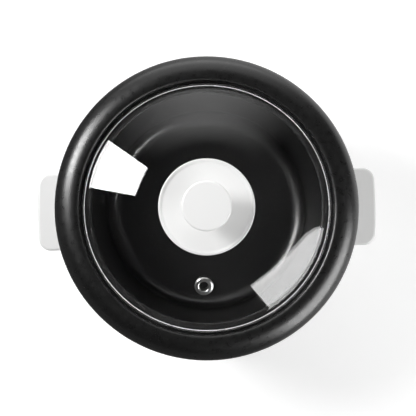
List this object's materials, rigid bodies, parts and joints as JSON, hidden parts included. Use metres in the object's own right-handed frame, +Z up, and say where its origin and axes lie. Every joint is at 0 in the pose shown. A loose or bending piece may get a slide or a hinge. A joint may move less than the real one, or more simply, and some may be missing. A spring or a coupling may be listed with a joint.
{
  "type": "slow cooker",
  "caption": "Round slow cooker with white housing and side handles, a removable black stoneware crock, a domed glass lid with a white knob and vent, and a turning heat dial.",
  "frame": {"origin": "on the surface that the cooker stands on, under its centre line", "axes": "+X towards the right handle, -Y towards the heat dial, +Z up"},
  "size_m": [0.304, 0.26, 0.2197],
  "materials": {
    "white_paint": "white gloss enamel, roughness 0.25",
    "white_plastic": "white moulded plastic, roughness 0.3",
    "black_glaze": "black satin glaze, roughness 0.32",
    "clear_glass": "clear tempered glass, roughness 0.03",
    "steel": "plain steel, roughness 0.3",
    "aluminium": "drawn aluminium, roughness 0.4",
    "brass": "turned brass, roughness 0.3",
    "rubber": "black rubber, roughness 0.8",
    "silicone": "milky silicone rubber, roughness 0.6",
    "mica": "pressed mica board round a resistance element, roughness 0.7",
    "ceramic": "unglazed ceramic, roughness 0.5",
    "black_plastic": "black moulded plastic, roughness 0.4",
    "brown_wire": "brown wire insulation, roughness 0.5",
    "blue_wire": "blue wire insulation, roughness 0.5",
    "green_wire": "green wire insulation, roughness 0.5"
  },
  "bodies": {
    "base": {"housing_shell": "white_paint", "base_plate": "steel", "heating_liner": "aluminium", "heater_band": "mica", "band_strap": "steel", "strap_screw": "steel", "strap_nut": "steel", "tie_stud": "steel", "tie_washer": "steel", "tie_nut": "steel", "foot_1": "rubber", "foot_2": "rubber", "foot_3": "rubber", "foot_4": "rubber", "handle_left": "white_plastic", "handle_right": "white_plastic", "handle_screw_1": "steel", "handle_screw_2": "steel", "handle_screw_3": "steel", "handle_screw_4": "steel", "control_panel": "white_plastic", "switch_body": "black_plastic", "switch_washer": "steel", "switch_nut": "steel", "cord_gland": "black_plastic", "gland_nut": "black_plastic", "terminal_block": "ceramic", "block_screw": "steel", "earth_screw": "steel", "thermal_fuse": "ceramic", "fuse_clip": "steel", "lead_live": "brown_wire", "lead_fuse": "brown_wire", "lead_low": "brown_wire", "lead_high": "brown_wire", "lead_neutral": "blue_wire", "lead_earth": "green_wire"},
    "dial": {"control_knob": "white_plastic", "switch_shaft": "steel"},
    "crock_body": {"crock": "black_glaze"},
    "lid": {"lid_glass": "clear_glass", "vent_eyelet": "steel", "knob_skirt": "white_plastic", "lid_knob": "white_plastic", "knob_insert": "brass", "knob_gasket": "silicone", "lid_gasket": "silicone", "lid_washer": "steel", "lid_screw": "steel"}
  },
  "joints": [
    {"name": "crock_lift", "type": "slide", "parent": "base", "child": "crock_body", "axis": [0, 0, 1], "range_m": [0, 0.14]},
    {"name": "lid_lift", "type": "slide", "parent": "crock_body", "child": "lid", "axis": [0, 0, 1], "range_m": [0, 0.1]},
    {"name": "dial_turn", "type": "hinge", "parent": "base", "child": "dial", "pos_m": [0, -0.118, 0.032], "axis": [0, 1, 0], "range_deg": [0, 135]}
  ]
}
